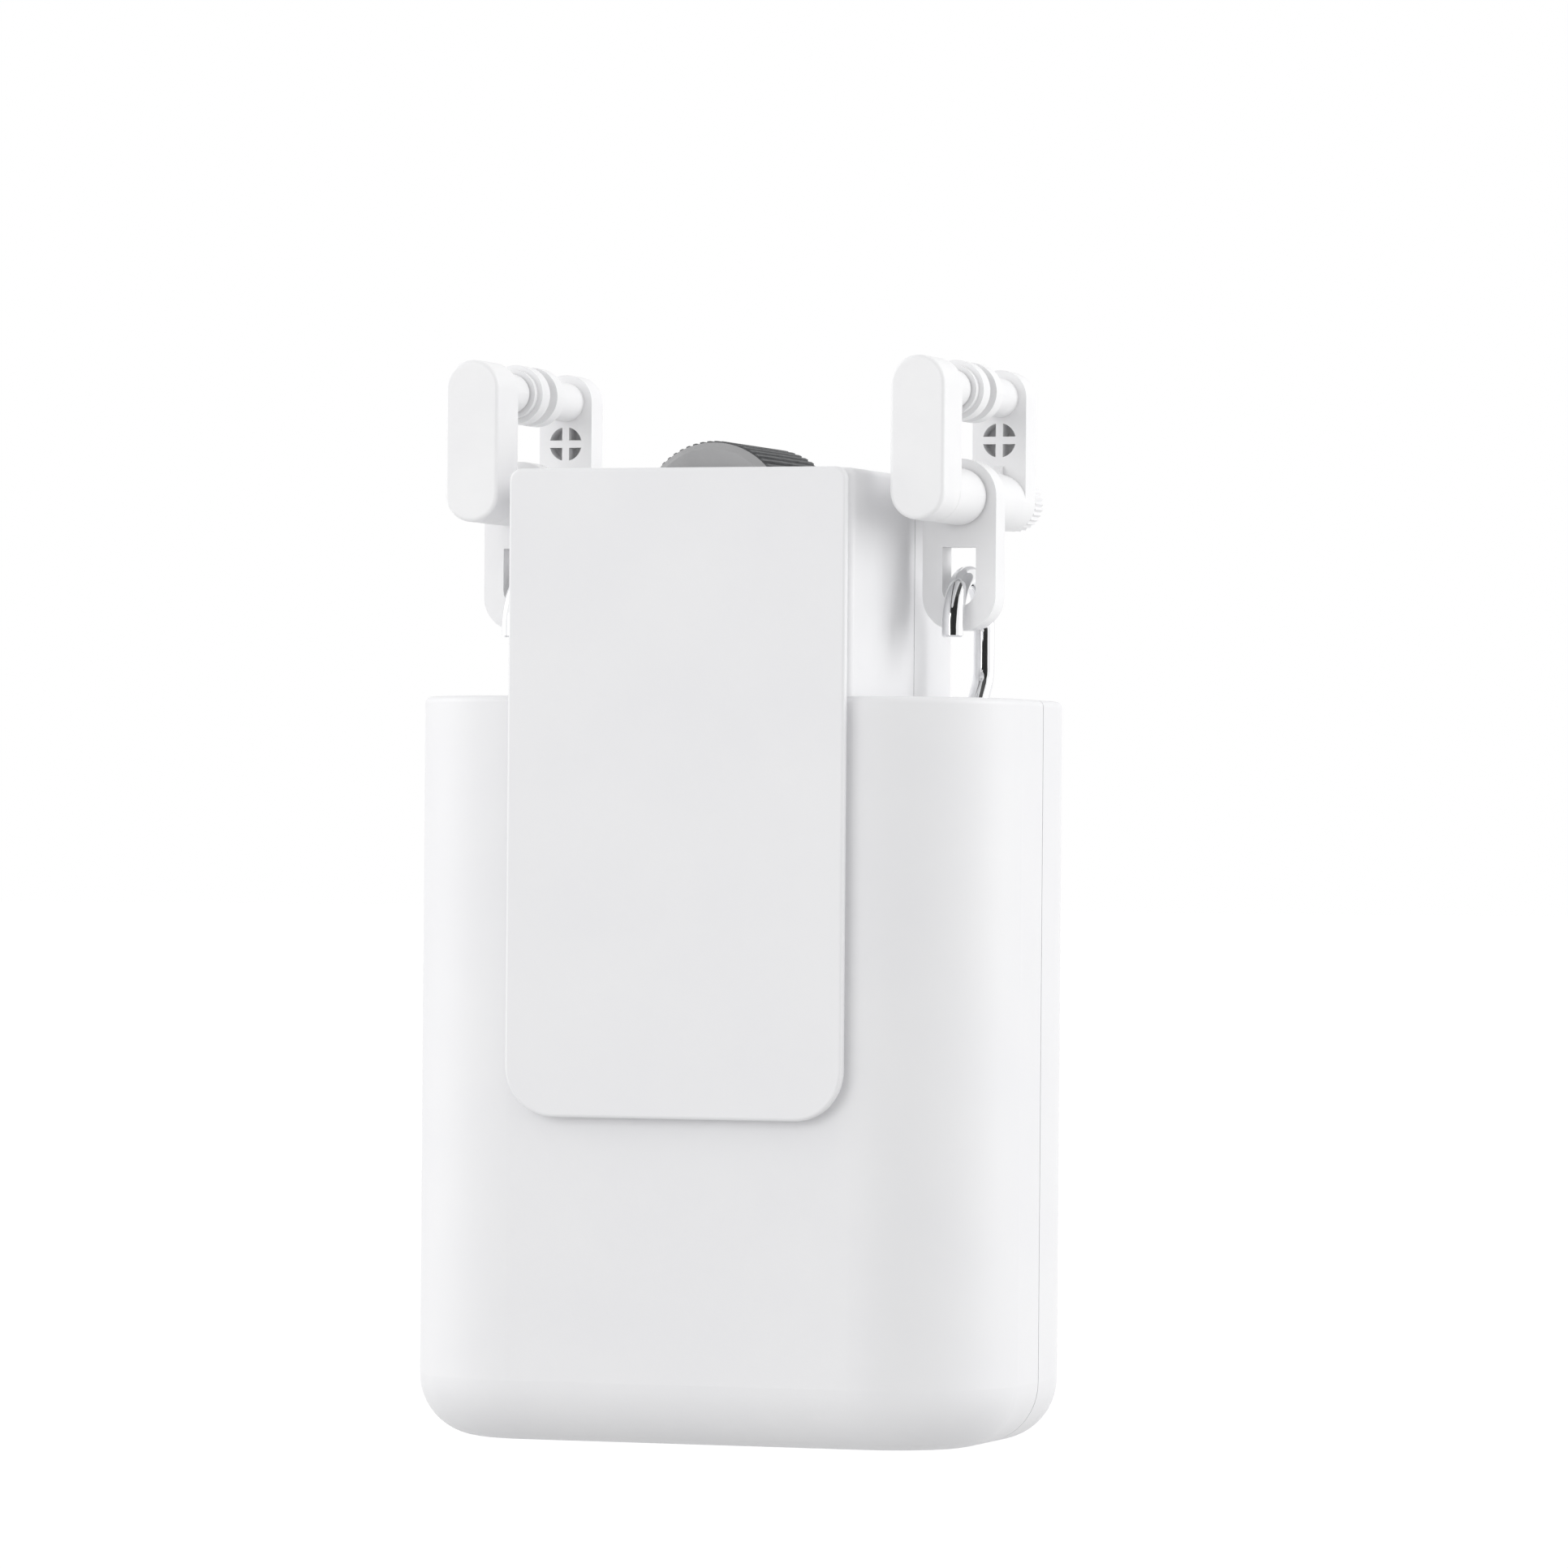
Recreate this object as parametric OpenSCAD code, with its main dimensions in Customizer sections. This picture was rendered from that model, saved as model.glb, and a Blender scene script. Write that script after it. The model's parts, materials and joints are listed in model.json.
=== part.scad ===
// Smart curtain robot: a spring-hung housing with a driven wheel and two roller hangers.
// Millimetres. X to the right, Y to the back, Z up. Z = 0 is the running plane on top of the wheel,
// and Y = 0 is the middle plane of wheel and hangers.

/* [Housing] */
// Width of the wide lower case
case_w = 75; // [68:0.5:82]
// Distance of the case front from the middle plane
case_front = 22; // [22:0.5:24]
// Gap between the neck and the hook plates
neck_gap = 2.35; // [2.2:0.05:2.8]
// Height of the neck above the shoulders
neck_h = 27; // [26:0.5:28]
// Thickness of the shell walls
wall = 1.8; // [1.4:0.1:2]
// Radius of the upright front edges of the case
corner_front = 16; // [14:0.5:16]
// Radius of the upright back edges of the case
corner_back = 16; // [14:0.5:16]
// Radius of the rounded base edge
base_round = 7.5; // [7:0.5:11]
// Radius of the shoulder edge and of the neck top edge
edge_round = 0.8; // [0.6:0.1:1.4]
// Radius of the upright front edges of the neck
neck_corner_front = 1.5; // [1.3:0.1:2]
// Radius of the upright back edges of the neck
neck_corner_back = 8; // [5:0.5:8.5]
// Distance of the shell seam behind the middle plane
seam_back = 2.4; // [2.2:0.2:3.6]
// Visible gap along the shell seam
seam_gap = 0.2; // [0.1:0.05:0.3]
// Thickness of the lip inside the seam
lip_t = 0.9; // [0.7:0.1:1]
// How far the lip reaches into the front shell
lip_reach = 1.5; // [1:0.1:2]
// Room between the cell cradle and the base wall
base_room = 1.7; // [1.2:0.1:4]
// Room between the gear cover and the back wall
back_room = 0.7; // [0.5:0.1:2.5]

/* [Front panel] */
// Height of the panel, from the neck top down
panel_h = 77.2; // [70:0.5:82]
// How far the panel stands in front of the shell
panel_t = 2.2; // [1.8:0.1:2.8]
// Radius of the two lower panel corners
panel_corner = 6; // [3:0.5:9]
// Radius of the two upper panel corners
panel_top_corner = 1.5; // [1.2:0.1:3]
// Radius of the panel front edge
panel_edge = 0.4; // [0.3:0.1:0.6]
// Depth of the shadow gap round the panel
panel_gap = 0.7; // [0.5:0.1:0.8]

/* [Drive wheel and gears] */
// Radius of the tyre
wheel_r = 9.4; // [9.4:0.1:9.8]
// Width of the wheel
wheel_w = 24; // [21.5:0.5:26.5]
// How far the wheel stands above the neck
wheel_proud = 3.8; // [3.4:0.1:4]
// Thickness of the tyre
tyre_t = 0.9; // [0.8:0.1:1]
// Radius of the wheel axle
axle_r = 1.5; // [1.3:0.1:1.5]
// Size of the gear teeth (module)
tooth = 0.5; // [0.48:0.01:0.5]
// Number of ring teeth inside the wheel
ring_n = 30; // [30:1:30]
// Number of teeth of the layshaft pinion
pinion_n = 10; // [10:1:10]
// Number of teeth of the layshaft gear
lay_n = 28; // [28:1:28]
// Number of teeth of the small step of the idler
idler_small_n = 12; // [12:1:12]
// Number of teeth of the large step of the idler
idler_large_n = 36; // [36:1:36]
// Number of teeth of the motor pinion
motor_n = 12; // [12:1:12]
// Radius of the motor can
motor_r = 10; // [9:0.5:10]
// Length of the motor can
motor_len = 25; // [20:1:26]

/* [Hangers] */
// Distance of each hanger from the side of the case
hanger_inset = 9.4; // [9:0.1:9.6]
// Radius of the rounded ends of the arms
arm_r = 3.4; // [3.2:0.1:3.5]
// Height of the roller axis above the running plane
roller_z = 6.2; // [6:0.1:6.6]
// Depth of the stud axis below the running plane
stud_drop = 6.5; // [6.4:0.1:7]
// Thickness of the front arms
front_arm_t = 6.8; // [6:0.1:7.2]
// Thickness of the rear arms
rear_arm_t = 4.5; // [4:0.1:5]
// Distance of the inner faces of the front arms from the middle plane
front_arm_inner = 11.9; // [11.5:0.1:12.5]
// Distance of the inner faces of the rear arms from the middle plane
rear_arm_inner = 14.1; // [13.5:0.1:14.5]
// Radius of the rollers
roller_r = 3.6; // [3.4:0.1:3.7]
// Distance of the inner roller faces from the middle plane
roller_gap = 1.3; // [1.2:0.1:1.6]
// Radius of the roller pins
pin_r = 1.1; // [1:0.05:1.2]
// Radius of the stud
stud_r = 2; // [1.8:0.1:2]
// Radius of the thumb nut
nut_r = 3.3; // [3:0.1:3.4]
// Length of the thumb nut
nut_len = 3.1; // [2.8:0.1:3.6]

/* [Hooks and plates] */
// Width of the hook plate
plate_w = 9.2; // [8.8:0.1:9.6]
// Thickness of the hook plate
plate_t = 3.6; // [3.2:0.1:3.8]
// Depth of the plate end below the running plane
plate_drop = 22.5; // [22.2:0.1:23]
// Width of the slot in the plate
slot_w = 4.2; // [3.8:0.1:4.4]
// Radius of the hook wire
wire_r = 1.28; // [1.1:0.02:1.3]
// Depth of the top of the hook arch below the running plane, at the wire centre
arch_drop = 15.9; // [15.7:0.1:16.1]
// Distance of the hook tip in front of the middle plane
tip_front = 4.2; // [4:0.1:4.4]
// Distance of the hook shank behind the middle plane
shank_back = 8.6; // [8.4:0.1:8.8]
// Distance of the hook rod behind the middle plane
rod_back = 3; // [2.6:0.1:3.4]
// Angle of the offset bend between shank and rod
offset_angle = 40; // [38:1:44]
// Bend radius of the offset bend
offset_bend = 4; // [3.6:0.1:4.2]
// Travel of the hook out of the shoulder
hook_travel = 10; // [6:1:12]
// Radius of the hook springs, at the wire centre
spring_r = 2.9; // [2.7:0.1:3]
// Radius of the spring wire
spring_wire = 0.4; // [0.3:0.05:0.45]
// Turns of each hook spring
spring_turns = 9; // [7:1:10]

/* [Electrics] */
// Radius of a battery cell
cell_r = 9.2; // [9:0.05:9.25]
// Length of a battery cell
cell_len = 65; // [58:0.5:72]
// Radius of the function button
button_r = 4.5; // [4:0.1:5]
// Travel of the function button
button_travel = 0.5; // [0.3:0.1:0.5]
// Width of the charging port
port_w = 8.94; // [8.94:0.01:9]
// Height of the charging port
port_h = 3.26; // [3.2:0.01:3.3]

/* [Clearances] */
// Gap between pieces that move past each other
gap = 0.3; // [0.25:0.05:0.35]
// Radial clearance of shafts that turn or slide
run_fit = 0.06; // [0.05:0.01:0.08]
// Radial clearance of pieces fixed in each other
set_fit = 0.03; // [0.02:0.01:0.05]
// Gap between fixed pieces that lie side by side
lay_gap = 0.1; // [0.05:0.05:0.15]
// Play between gear flanks
backlash = 0.12; // [0.1:0.01:0.14]

/* [Hidden] */
$fn = 64;

// How far a cut runs past the face it opens, and how far parts of one solid run into each other
over = 1;
root = 0.5;

// Steps per millimetre of the grid on which the pieces of a shell meet
grid = 1024;

// Wheel and gear axes, one below the other
axle_z = -wheel_r;
ring_r = tooth * ring_n / 2;
pinion_r = tooth * pinion_n / 2;
lay_r = tooth * lay_n / 2;
idler_small_r = tooth * idler_small_n / 2;
idler_large_r = tooth * idler_large_n / 2;
motor_pinion_r = tooth * motor_n / 2;
lay_z = axle_z - (ring_r - pinion_r);
idler_z = lay_z - (lay_r + idler_small_r);
motor_z = idler_z - (idler_large_r + motor_pinion_r);
tooth_tip = 0.9 * tooth;
tooth_foot = 1.25 * tooth;
ring_tooth_foot = 1.2 * tooth;
ring_tooth_tip = 0.85 * tooth;
lay_shaft_r = 1.2;
idler_pin_r = 1;
motor_shaft_r = 1;
motor_boss_r = 3;
ring_depth = 5;
pinion_play = 0.4;

// Ends of the wheel hub
hub_end_t = 1;
hub_bevel = 0.8;
hub_step = 0.2;
hub_groove_depth = 0.5;
hub_groove_rim = 3.2;
hub_boss_t = 2;

// Hanger places and neck width follow from the case
hanger_x = case_w / 2 - hanger_inset;
neck_w = 2 * (hanger_x - plate_w / 2 - neck_gap);

// Chassis plates across the neck, and the gear planes behind the back plate
neck_top = -wheel_proud;
shoulder = neck_top - neck_h;
panel_end = neck_top - panel_h;
neck_root = 6;
neck_room = 1.75;
top_room = 0.4;
wheel_room = 0.7;
wheel_room_x = 0.8;
wheel_under = 3;
chassis_half_w = neck_w / 2 - wall - neck_room;
chassis_side_t = 1.6;
chassis_top = neck_top - wall - top_room;
plate_inner = wheel_w / 2 + wheel_room;
plate_thick = 2.4;
plate_outer = plate_inner + plate_thick;
front_plate_t = 3.2;
front_plate_outer = plate_inner + front_plate_t;
motor_face = plate_inner - lay_gap;
motor_front = motor_face - motor_len;
chassis_floor_t = 1.4;
chassis_floor = motor_z - motor_r - 2 * lay_gap;
chassis_low = chassis_floor - chassis_floor_t;
axle_bush_wall = 1;
bush_r = axle_r + axle_bush_wall;
bush_stand = 0.3;
gear_t = 2;
gear_gap = 0.4;
lay_gear_y = plate_outer + gear_gap;
idler_gear_y = lay_gear_y + gear_t + gear_gap;
idler_seat = 0.6;
cover_t = 1.2;
cover_y = idler_gear_y + gear_t + gear_gap;
cover_inset = 2.6;
cover_half_w = chassis_half_w - cover_inset;
cover_under = 2;
cover_low = motor_z - motor_pinion_r - cover_under;
leg_r = 1.8;
leg_in = 2.3;
leg_x = cover_half_w - leg_in;

// Cells and cradle, and the case depth and base that follow from them
cell_gap = 0.4;
cell_x = cell_r + cell_gap;
cell_y = -5;
cradle_t = 1.6;
cradle_y = cell_y + cell_r + cell_gap;
cradle_back = cradle_y + cradle_t;
cradle_side = 0.6;
cradle_half_w = cell_x + cell_r + cradle_side;
cradle_top = chassis_low - top_room;
cradle_end_t = 1;
cradle_depth = 17;
contact_t = 0.4;
contact_r = 5;
cell_top = cradle_top - cradle_end_t - contact_t - 2 * lay_gap;
cell_low = cell_top - cell_len;
cradle_low = cell_low - contact_t - 2 * lay_gap - cradle_end_t;
base = cradle_low - base_room - wall;
case_h = shoulder - base;
wall_back = cover_y + cover_t + back_room;
case_back = wall_back + wall;
seam = seam_back;
lip_fit = 0.15;
lip_root = 2;
lip_web = 1.2;
lip_step = 0.3;
inner_corner = 0.4;
wall_bite = 0.4;

// Hook plate and hook
stud_z = -stud_drop;
plate_eye_r = plate_w / 2;
plate_end_r = 4.1;
bend_swell = 0.02;
bend_bite = 0.15;
arch_r = (tip_front + shank_back) / 2;
arch_y = (shank_back - tip_front) / 2;
arch_z = -arch_drop - arch_r;
arch_clear_r = arch_r - wire_r - bend_swell - gap;
slot_bridge = 4;
slot_top = stud_z - stud_r - slot_bridge;
slot_low = arch_z + sqrt(pow(arch_clear_r, 2) - pow(arch_y + plate_t / 2, 2));
slot_end_z = slot_low + slot_w / 2;
tip_past = 0.9;
shank_past = 4.2;
tip_low = -plate_drop - tip_past;
shank_low = -plate_drop - shank_past;
offset_side = shank_back - rod_back - 2 * offset_bend * (1 - cos(offset_angle));
offset_len = offset_side / sin(offset_angle);
offset_start_z = shank_low - offset_bend * sin(offset_angle);
offset_start_y = shank_back - offset_bend * (1 - cos(offset_angle));
offset_end_z = offset_start_z - offset_len * cos(offset_angle);
offset_end_y = offset_start_y - offset_side;
rod_top = offset_end_z - offset_bend * sin(offset_angle);
hook_room = 0.4;
hook_lead = 0.5;
shoulder_slot_r = wire_r + hook_room;
shoulder_slot_front = rod_back - wire_r - hook_lead;
shoulder_slot_back = offset_start_y + wire_r - hook_room;

// Hook guides beside the chassis, springs and stops
guide_depth = 9.2;
guide_t = 6;
guide_top = shoulder - guide_depth;
guide_low = guide_top - guide_t;
guide_half_d = 4.5;
guide_reach = 5;
guide_end = hanger_x + guide_reach;
hook_bush_wall = 1.3;
hook_bush_r = wire_r + hook_bush_wall;
bush_flange_w = 1;
bush_flange_r = hook_bush_r + bush_flange_w;
bush_flange_t = 0.8;
spring_spare = 6;
spring_solid = (spring_turns + 1) * 2 * spring_wire;
spring_sides = 6;
spring_steps = 14;
stop_t = 0.8;
stop_w = 1;
stop_r = spring_r + stop_w;
clip_in = 0.8;
clip_r = stop_r - clip_in;
stop_top = guide_low - spring_solid - hook_travel - spring_spare;
rod_tail = 4;
rod_end = stop_top - rod_tail;
spring_top = guide_low - lay_gap;
spring_low = stop_top + lay_gap;

// Screws and their posts
post_r = 3.2;
screw_r = 1.4;
head_r = 2.6;
head_t = 1.7;
head_sink = 1;
cross_reach = 1.6;
cross_half_t = 0.3;
cross_depth = 0.9;
post_blind = 1.5;
chassis_screw_x = chassis_half_w - chassis_side_t - head_r - gap;
chassis_screw_down = 5;
chassis_screw_up = 4;
chassis_screw_top = chassis_top - chassis_screw_down;
chassis_screw_low = chassis_low + chassis_screw_up;
case_post_x = cell_x + cell_r + cell_gap + post_r;
case_post_up = 20;
case_post_z = base + case_post_up;
post_front = -case_front + corner_front + over;
rib_half_t = 1.2;
rib_len = case_w / 2 - wall + wall_bite - case_post_x;
rib_end = seam - lip_reach - gap;
neck_post_up = 2.6;
neck_post_z = chassis_low + neck_post_up;
ear_half_h = 4;

// Plate in front of the shadow gap, and pins behind the front panel
panel_face_t = 0.9;
panel_pin_r = 1.5;
panel_pin_side = 5;
panel_pin_down = 20;
panel_pin_up = 8;

// Board and its parts
board_t = 1.6;
board_y = 12.4;
board_back = board_y + board_t;
board_inset = 1.4;
board_half_w = cradle_half_w - board_inset;
board_down = 2.6;
board_up = 3.4;
board_top = cradle_top - board_down;
board_low = cradle_low + board_up;
standoff_r = 2;
standoff_in = 3;
standoff_x = board_half_w - standoff_in;
parts_y = board_back + lay_gap / 2;
part_edge = 4;
radio_w = 12;
radio_h = 16;
radio_t = 2.4;
chip_w = 7;
chip_t = 1;
coil_w = 6;
coil_t = 2.8;
charger_w = 4;
charger_t = 1.2;

// Port, button, lens and window on the back
port_up = 17;
button_up = 32;
status_up = 42;
sensor_up = 64;
port_z = base + port_up;
button_z = base + button_up;
status_z = base + status_up;
sensor_z = base + sensor_up;
port_gap = 0.3;
port_wall = 0.3;
port_floor = 1.5;
port_sink = 0.6;
tongue_half_w = 3.35;
tongue_half_t = 0.35;
tongue_in = 0.8;
status_r = 1.2;
sensor_r = 2.5;
window_flange_w = 1;
window_flange_t = 0.7;
button_flange_w = 1.1;
button_flange_r = button_r + button_flange_w;
button_flange_t = 1;
button_proud = 0.6;
flange_back = wall_back - gap;
switch_back = flange_back - button_flange_t - button_travel - lay_gap;
switch_half = 3;
plunger_r = 1.7;
plunger_len = 1.2;

// Hangers
arm_span = roller_z + stud_drop;
arm_edge = 0.5;
boss_w = 0.02;
boss_r = arm_r + boss_w;
boss_end = plate_t / 2 + gap;
stud_cover = 2.6;
stud_past = 0.5;
gusset_t = 1.2;
gusset_h = 1;
gusset_len = 3;
gusset_bite = 0.4;
roller_w = 3.7;
roller_step_w = 1.1;
roller_step_in = 0.6;
roller_step_r = roller_r - roller_step_in;
arm_hub_wall = 1.3;
arm_hub_r = pin_r + arm_hub_wall;
arm_hub_end = roller_gap + roller_w + gap;
pin_seat = 1;
pin_sink = 0.3;
pin_head_w = 0.8;
pin_head_r = pin_r + pin_head_w;
pin_head_t = 0.8;
rear_arm_back = rear_arm_inner + rear_arm_t;
front_arm_front = front_arm_inner + front_arm_t;
nut_start = rear_arm_back + gap;
nut_end = nut_start + nut_len;
knurl_n = 30;
knurl_depth = 0.25;
pocket_r = 2.1;
pocket_depth = 2.4;
pocket_rib = 0.9;
pocket_up = 1.2;

// Length rounded to the grid
function on_grid(v) = round(v * grid) / grid;

// Half section of a rounded block: outer lower corner of radius low_r, outer upper corner of radius top_r
module edge_profile(w, h, low_r, top_r) {
  difference() {
    square([w, h]);
    if (low_r > 0)
      difference() {
        translate([w - low_r, -over]) square([low_r + over, low_r + over]);
        translate([w - low_r, low_r]) circle(low_r);
      }
    if (top_r > 0)
      difference() {
        translate([w - top_r, h - top_r]) square([top_r + over, top_r + over]);
        translate([w - top_r, h - top_r]) circle(top_r);
      }
  }
}

// Full section of the same block, w wide on each side of the middle
module edge_section(w, h, low_r, top_r) {
  union() {
    edge_profile(w, h, low_r, top_r);
    mirror([1, 0]) edge_profile(w, h, low_r, top_r);
  }
}

// Rounded corner of a block, turned to the quarter that starts at angle turn
module corner_piece(r, h, low_r, top_r, turn) {
  rotate([0, 0, turn]) rotate_extrude(angle = 90) edge_profile(r, h, low_r, top_r);
}

// Front end of a rounded block: two corners, the face between them and the straight sides back to y1.
// Its planes are rounded to the grid, so that the pieces meet exactly at every size.
module half_block(half_w, y0, y1, r, z0, z1, low_r, top_r) {
  bend = on_grid(r);
  x = on_grid(half_w) - bend;
  front = on_grid(y0) + bend;
  back = on_grid(y1);
  low = on_grid(z0);
  h = on_grid(z1) - low;
  translate([-x, front, low]) corner_piece(bend, h, low_r, top_r, 180);
  translate([x, front, low]) corner_piece(bend, h, low_r, top_r, 270);
  translate([x, front, low]) rotate([0, 0, -90]) rotate([90, 0, 0])
    linear_extrude(2 * x) edge_profile(bend, h, low_r, top_r);
  translate([0, back, low]) rotate([90, 0, 0])
    linear_extrude(back - front) edge_section(x + bend, h, low_r, top_r);
}

// Outer or inner form of one shell, front at -depth, cut off flat at y1
module half_case(inset, depth, y1, corner, neck_corner) {
  half_block(case_w / 2 - inset, -depth + inset, y1, corner - inset,
             base + inset, shoulder - inset, base_round - inset, inset > 0 ? 0 : edge_round);
  half_block(neck_w / 2 - inset, -depth + inset, y1, max(neck_corner - inset, inner_corner),
             shoulder - neck_root, neck_top - inset, 0, inset > 0 ? 0 : edge_round);
}

// Section of the whole case along the seam, drawn in X and Z
module seam_section(inset) {
  translate([0, base + inset])
    edge_section(case_w / 2 - inset, case_h - 2 * inset, base_round - inset, 0);
  translate([-neck_w / 2 + inset, shoulder - neck_root])
    square([neck_w - 2 * inset, neck_h + neck_root - inset]);
}

// Cylinder that runs back along Y from y0 to y1
module y_rod(r, y0, y1) {
  translate([0, y0, 0]) rotate([-90, 0, 0]) cylinder(r = r, h = y1 - y0);
}

// Block between two corners
module block(a, b) {
  translate(a) cube(b - a);
}

// Openings of both shells for wheel and hooks
module top_openings() {
  open_x = wheel_r + wheel_room_x;
  open_y = wheel_w / 2 + wheel_room;
  block([-open_x, -open_y, neck_top - neck_root], [open_x, open_y, neck_top + over]);
  for (s = [-1, 1])
    translate([s * hanger_x, 0, shoulder - neck_root]) linear_extrude(neck_root + over)
      union() {
        translate([0, shoulder_slot_front]) circle(shoulder_slot_r);
        translate([0, shoulder_slot_back]) circle(shoulder_slot_r);
        translate([-shoulder_slot_r, shoulder_slot_front])
          square([2 * shoulder_slot_r, shoulder_slot_back - shoulder_slot_front]);
      }
}

// Places of the chassis screws and their posts
module at_chassis_screws() {
  for (s = [-1, 1], z = [chassis_screw_top, chassis_screw_low])
    translate([s * chassis_screw_x, 0, z]) children();
}

// Places of the two lower case screws
module at_case_screws() {
  for (s = [-1, 1])
    translate([s * case_post_x, 0, case_post_z]) children();
}

// Places of the two upper case screws
module at_neck_screws() {
  for (s = [-1, 1])
    translate([s * chassis_screw_x, 0, neck_post_z]) children();
}

// Places of the four pins behind the front panel
module at_panel_pins() {
  for (s = [-1, 1], z = [neck_top - panel_pin_down, panel_end + panel_pin_up])
    translate([s * (neck_w / 2 - panel_pin_side), 0, z]) children();
}

module front_shell() {
  wall_front = -case_front + wall;
  color([0.94, 0.94, 0.95])
    difference() {
      union() {
        difference() {
          half_case(0, case_front, seam, corner_front, neck_corner_front);
          half_case(wall, case_front, seam + over, corner_front, neck_corner_front);
        }
        at_chassis_screws() y_rod(post_r, wall_front - wall_bite, -front_plate_outer - lay_gap);
        at_case_screws() y_rod(post_r, post_front, cradle_y - lay_gap);
        for (s = [-1, 1])
          translate([s * (case_post_x + rib_len / 2), 0, case_post_z])
            block([-rib_len / 2, post_front, -rib_half_t], [rib_len / 2, rib_end, rib_half_t]);
      }
      top_openings();
      at_chassis_screws() y_rod(screw_r + lay_gap, wall_front, 0);
      at_case_screws() y_rod(screw_r + lay_gap, post_front + post_blind, cradle_y + over);
      at_panel_pins() y_rod(panel_pin_r + lay_gap, -case_front - over, wall_front + over);
    }
}

module rear_shell() {
  head_seat = case_back - head_sink - head_t - lay_gap;
  color([0.94, 0.94, 0.95])
    difference() {
      union() {
        difference() {
          mirror([0, 1, 0]) half_case(0, case_back, -seam - seam_gap, corner_back, neck_corner_back);
          mirror([0, 1, 0]) half_case(wall, case_back, -seam + over, corner_back, neck_corner_back);
        }
        translate([0, seam + lip_root, 0]) rotate([90, 0, 0]) linear_extrude(lip_root + lip_reach)
          difference() {
            seam_section(wall + lip_fit);
            seam_section(wall + lip_fit + lip_t);
          }
        translate([0, seam + lip_root - lip_step, 0]) rotate([90, 0, 0]) linear_extrude(lip_web)
          difference() {
            seam_section(wall - wall_bite);
            seam_section(wall + lip_fit + lip_t);
          }
        at_case_screws() y_rod(post_r, cradle_back + lay_gap, wall_back + wall_bite);
        at_neck_screws() y_rod(post_r, plate_outer + lay_gap, wall_back + wall_bite);
      }
      top_openings();
      at_case_screws() y_rod(screw_r + lay_gap, 0, case_back + over);
      at_case_screws() y_rod(head_r + lay_gap, head_seat, case_back + over);
      at_neck_screws() y_rod(screw_r + lay_gap, 0, case_back + over);
      at_neck_screws() y_rod(head_r + lay_gap, head_seat, case_back + over);
      translate([0, 0, button_z]) y_rod(button_r + gap, wall_back - over, case_back + over);
      translate([0, 0, status_z]) y_rod(status_r + lay_gap, wall_back - over, case_back + over);
      translate([0, 0, sensor_z]) y_rod(sensor_r + lay_gap, wall_back - over, case_back + over);
      translate([0, wall_back - over, port_z])
        port_form(port_w + 2 * port_gap, port_h + 2 * port_gap, wall + 2 * over);
    }
}

module front_panel() {
  color([0.9, 0.9, 0.91]) {
    translate([0, -case_front - panel_t - lay_gap / 2, 0]) rotate([-90, 0, 0]) panel_block();
    at_panel_pins() y_rod(panel_pin_r, -case_front - panel_t / 2, -case_front + wall);
  }
}

// Panel lying on its face: the front plate, and the narrower plate behind it that leaves a shadow gap
module panel_block() {
  panel_layer(0, 0, panel_face_t, panel_edge);
  panel_layer(panel_gap, panel_face_t / 2, panel_t, 0);
}

// One plate of the panel: neck top towards -Y, lower end towards +Y
module panel_layer(inset, z0, z1, edge) {
  half_w = neck_w / 2 - inset;
  top = inset - neck_top;
  mid = on_grid((panel_end + neck_top) / -2);
  half_block(half_w, top, mid, panel_top_corner - inset, z0, z1, edge, 0);
  translate([0, 2 * mid, 0]) mirror([0, 1, 0])
    half_block(half_w, top, mid, panel_corner - inset, z0, z1, edge, 0);
}

// Flat rounded bar standing on its back, for the charging port
module port_form(w, h, len) {
  rotate([-90, 0, 0]) linear_extrude(len)
    union() {
      translate([-(w - h) / 2, 0]) circle(h / 2);
      translate([(w - h) / 2, 0]) circle(h / 2);
      square([w - h, h], center = true);
    }
}

module chassis() {
  color([0.3, 0.31, 0.33])
    difference() {
      union() {
        block([-chassis_half_w, -front_plate_outer, chassis_low], [chassis_half_w, -plate_inner, chassis_top]);
        block([-chassis_half_w, plate_inner, chassis_low], [chassis_half_w, plate_outer, chassis_top]);
        block([-chassis_half_w, -plate_inner - over, chassis_low],
              [chassis_half_w, plate_inner + over, chassis_floor]);
        for (s = [-1, 1]) {
          side_mid = s * (chassis_half_w - chassis_side_t / 2);
          block([side_mid - chassis_side_t / 2, -plate_inner - over, chassis_low],
                [side_mid + chassis_side_t / 2, plate_inner + over, axle_z - wheel_r - wheel_under]);
          guide_mid = s * (chassis_half_w + guide_end - root) / 2;
          guide_half = (guide_end - chassis_half_w + root) / 2;
          block([guide_mid - guide_half, rod_back - guide_half_d, guide_low],
                [guide_mid + guide_half, rod_back + guide_half_d, guide_top]);
        }
      }
      translate([0, 0, axle_z]) y_rod(bush_r + set_fit, -front_plate_outer - over, plate_outer + over);
      translate([0, 0, lay_z]) y_rod(lay_shaft_r + run_fit, 0, plate_outer + over);
      translate([0, 0, idler_z]) y_rod(idler_pin_r + set_fit, plate_inner + idler_seat, plate_outer + over);
      translate([0, 0, motor_z]) y_rod(motor_boss_r + lay_gap, 0, plate_outer + over);
      translate([0, 0, motor_z]) y_rod(motor_r + lay_gap, -front_plate_outer - over, -plate_inner + over);
      at_chassis_screws() y_rod(screw_r + lay_gap, -front_plate_outer - over, -plate_inner + over);
      at_chassis_screws() y_rod(head_r + lay_gap, -plate_inner - head_t - 2 * lay_gap, -plate_inner + over);
      at_neck_screws() y_rod(screw_r + lay_gap, plate_inner - over, plate_outer + over);
      for (s = [-1, 1])
        translate([s * hanger_x, rod_back, guide_low - over])
          cylinder(r = hook_bush_r + set_fit, h = guide_t + 2 * over);
    }
}

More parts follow.
